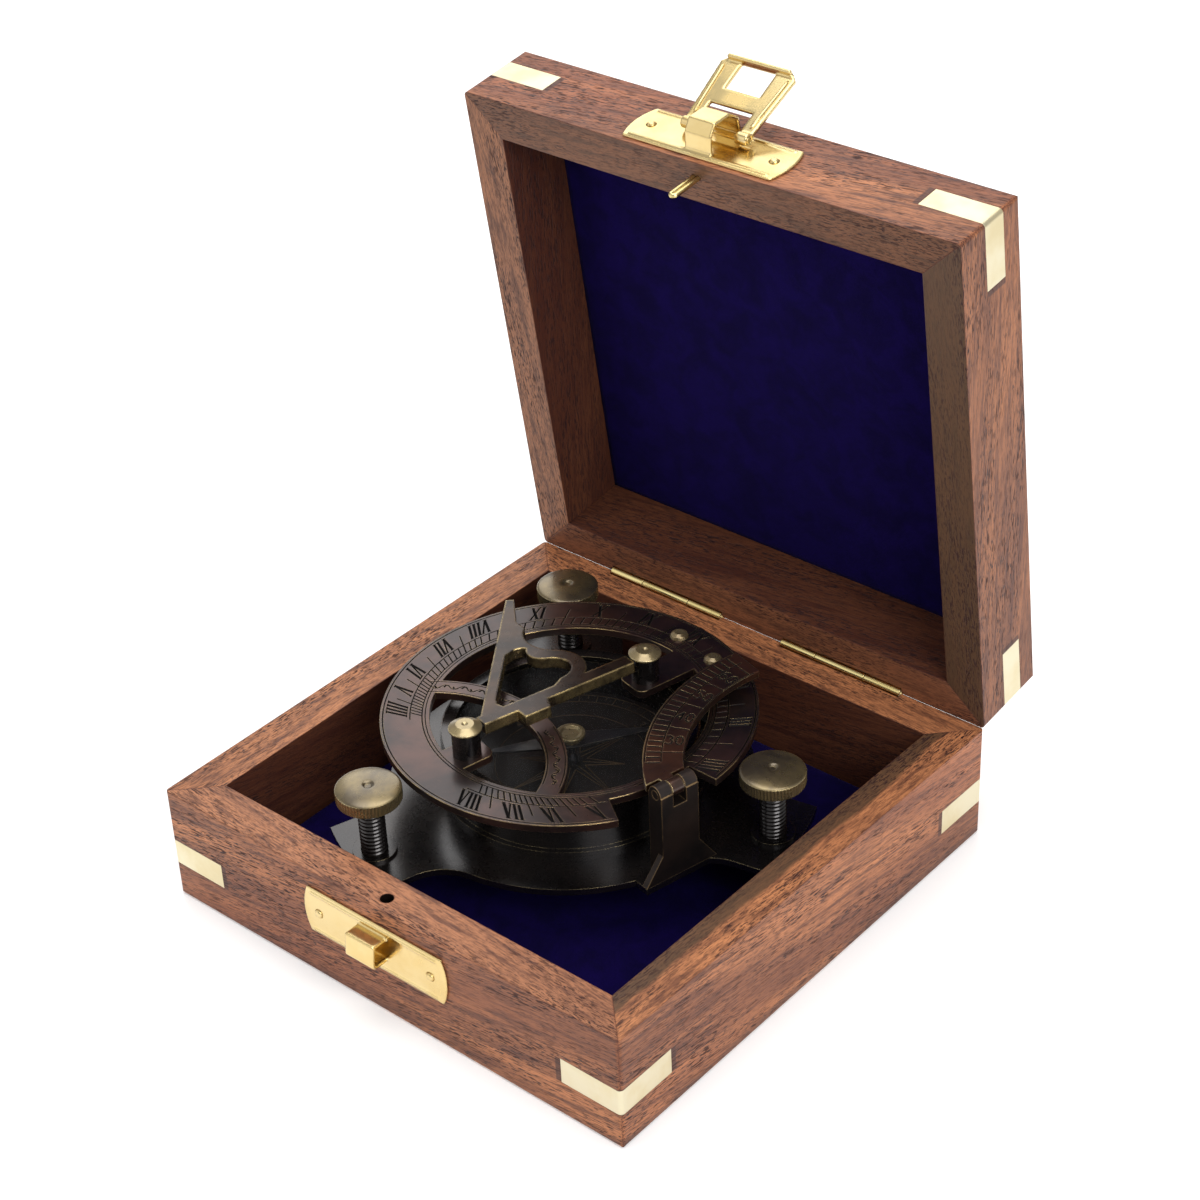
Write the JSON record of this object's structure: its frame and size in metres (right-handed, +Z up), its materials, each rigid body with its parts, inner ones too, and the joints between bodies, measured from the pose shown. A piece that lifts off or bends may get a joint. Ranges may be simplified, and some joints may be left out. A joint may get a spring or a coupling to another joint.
{
  "type": "sundial compass in a box",
  "caption": "Folding brass equatorial-style sundial with a compass and levelling screws, standing in a hinged, velvet-lined wooden box with a hasp latch.",
  "frame": {"origin": "middle of the box's underside", "axes": "X runs along the hinge line, Y from the latch side to the hinge side, Z up; the lid stands open and the dial is folded flat"},
  "size_m": [0.13, 0.1525, 0.1687],
  "materials": {
    "wood": "reddish brown hardwood with dark streaks, satin lacquer",
    "velvet": "short navy pile",
    "polished_brass": "bright, lightly worn",
    "antique_bronze": "dark antique patina, rubbed bright on the edges",
    "steel": "dull steel",
    "glass": "clear flat glass"
  },
  "bodies": {
    "base": {"base_front_board": "wood", "base_back_board": "wood", "base_left_board": "wood", "base_right_board": "wood", "base_floor_panel": "wood", "base_velvet_lining": "velvet", "base_corner_inlays": "polished_brass", "base_catch_plate": "polished_brass", "base_catch_nails": "polished_brass", "hinge_base_leaves": "polished_brass", "hinge_pins": "polished_brass", "hinge_base_nails": "polished_brass"},
    "lid": {"lid_front_board": "wood", "lid_back_board": "wood", "lid_left_board": "wood", "lid_right_board": "wood", "lid_top_panel": "wood", "lid_velvet_lining": "velvet", "lid_corner_inlays": "polished_brass", "hinge_lid_leaves": "polished_brass", "hinge_lid_nails": "polished_brass", "latch_plate": "polished_brass", "latch_nails": "polished_brass", "lid_locating_pin": "polished_brass"},
    "latch_pin": {"hasp_pin": "polished_brass"},
    "latch_hasp": {"hasp": "polished_brass"},
    "instrument": {"tripod_plate": "antique_bronze", "levelling_bushes": "antique_bronze", "compass_housing": "antique_bronze", "housing_screws": "steel", "compass_dial": "antique_bronze", "compass_pivot": "steel", "compass_glass": "glass", "glass_retaining_ring": "antique_bronze", "arc_bracket": "antique_bronze", "arc_pin": "antique_bronze", "ring_hinge_bracket": "antique_bronze", "ring_hinge_pin": "steel", "bracket_screws": "steel"},
    "levelling_screw_front": {"levelling_screw_front": "antique_bronze"},
    "levelling_screw_right": {"levelling_screw_right": "antique_bronze"},
    "levelling_screw_back": {"levelling_screw_back": "antique_bronze"},
    "needle": {"compass_needle": "steel", "needle_cap": "polished_brass"},
    "latitude_arc": {"latitude_arc": "antique_bronze"},
    "hour_ring": {"hour_ring": "antique_bronze", "ring_hinge_leaf": "antique_bronze", "ring_hinge_rivets": "antique_bronze", "gnomon_post_front": "antique_bronze", "gnomon_post_back": "antique_bronze", "gnomon_post_caps": "polished_brass"},
    "gnomon": {"gnomon": "antique_bronze", "gnomon_pins": "steel"}
  },
  "joints": [
    {"name": "lid_hinge", "type": "hinge", "parent": "base", "child": "lid", "pos_m": [0, 0.06352, 0.02901], "axis": [-1, 0, 0], "range_deg": [-82.2, 0]},
    {"name": "latch_pin_slide", "type": "slide", "parent": "lid", "child": "latch_pin", "axis": [0, 0.9907, 0.1357], "range_m": [-0.00492, 0]},
    {"name": "hasp_swing", "type": "hinge", "parent": "latch_pin", "child": "latch_hasp", "pos_m": [-0.0015, 0.05498, 0.15847], "axis": [-1, 0, 0], "range_deg": [-158.6, 0]},
    {"name": "instrument_lift", "type": "slide", "parent": "base", "child": "instrument", "axis": [0, 0, 1], "range_m": [0, 0.04]},
    {"name": "levelling_turn_front", "type": "hinge", "parent": "instrument", "child": "levelling_screw_front", "pos_m": [-0.02153, -0.04296, 0.0205], "axis": [0, 0, 1], "continuous": true},
    {"name": "levelling_turn_right", "type": "hinge", "parent": "instrument", "child": "levelling_screw_right", "pos_m": [0.04353, 0.0142, 0.0205], "axis": [0, 0, 1], "continuous": true},
    {"name": "levelling_turn_back", "type": "hinge", "parent": "instrument", "child": "levelling_screw_back", "pos_m": [-0.0385, 0.04196, 0.0205], "axis": [0, 0, 1], "continuous": true},
    {"name": "needle_spin", "type": "hinge", "parent": "instrument", "child": "needle", "pos_m": [-0.0055, 0.0044, 0.031], "axis": [0, 0, 1], "continuous": true},
    {"name": "hour_ring_tilt", "type": "hinge", "parent": "instrument", "child": "hour_ring", "pos_m": [0.00295, 0.04042, 0.0332], "axis": [-0.9736, 0.2284, 0], "range_deg": [0, 22.5]},
    {"name": "latitude_arc_fold", "type": "hinge", "parent": "instrument", "child": "latitude_arc", "pos_m": [0.03401, -0.00759, 0.0423], "axis": [0.2284, 0.9736, 0], "range_deg": [0, 90]},
    {"name": "gnomon_fold", "type": "hinge", "parent": "hour_ring", "child": "gnomon", "pos_m": [-0.01223, -0.02165, 0.0438], "axis": [0.28, 0.96, 0], "range_deg": [0, 95.33]}
  ],
  "couplings": [
    {"joint": "hasp_swing", "follows": "latch_pin_slide", "rad_per_m": 562.62},
    {"joint": "latitude_arc_fold", "follows": "hour_ring_tilt", "ratio": 4}
  ]
}
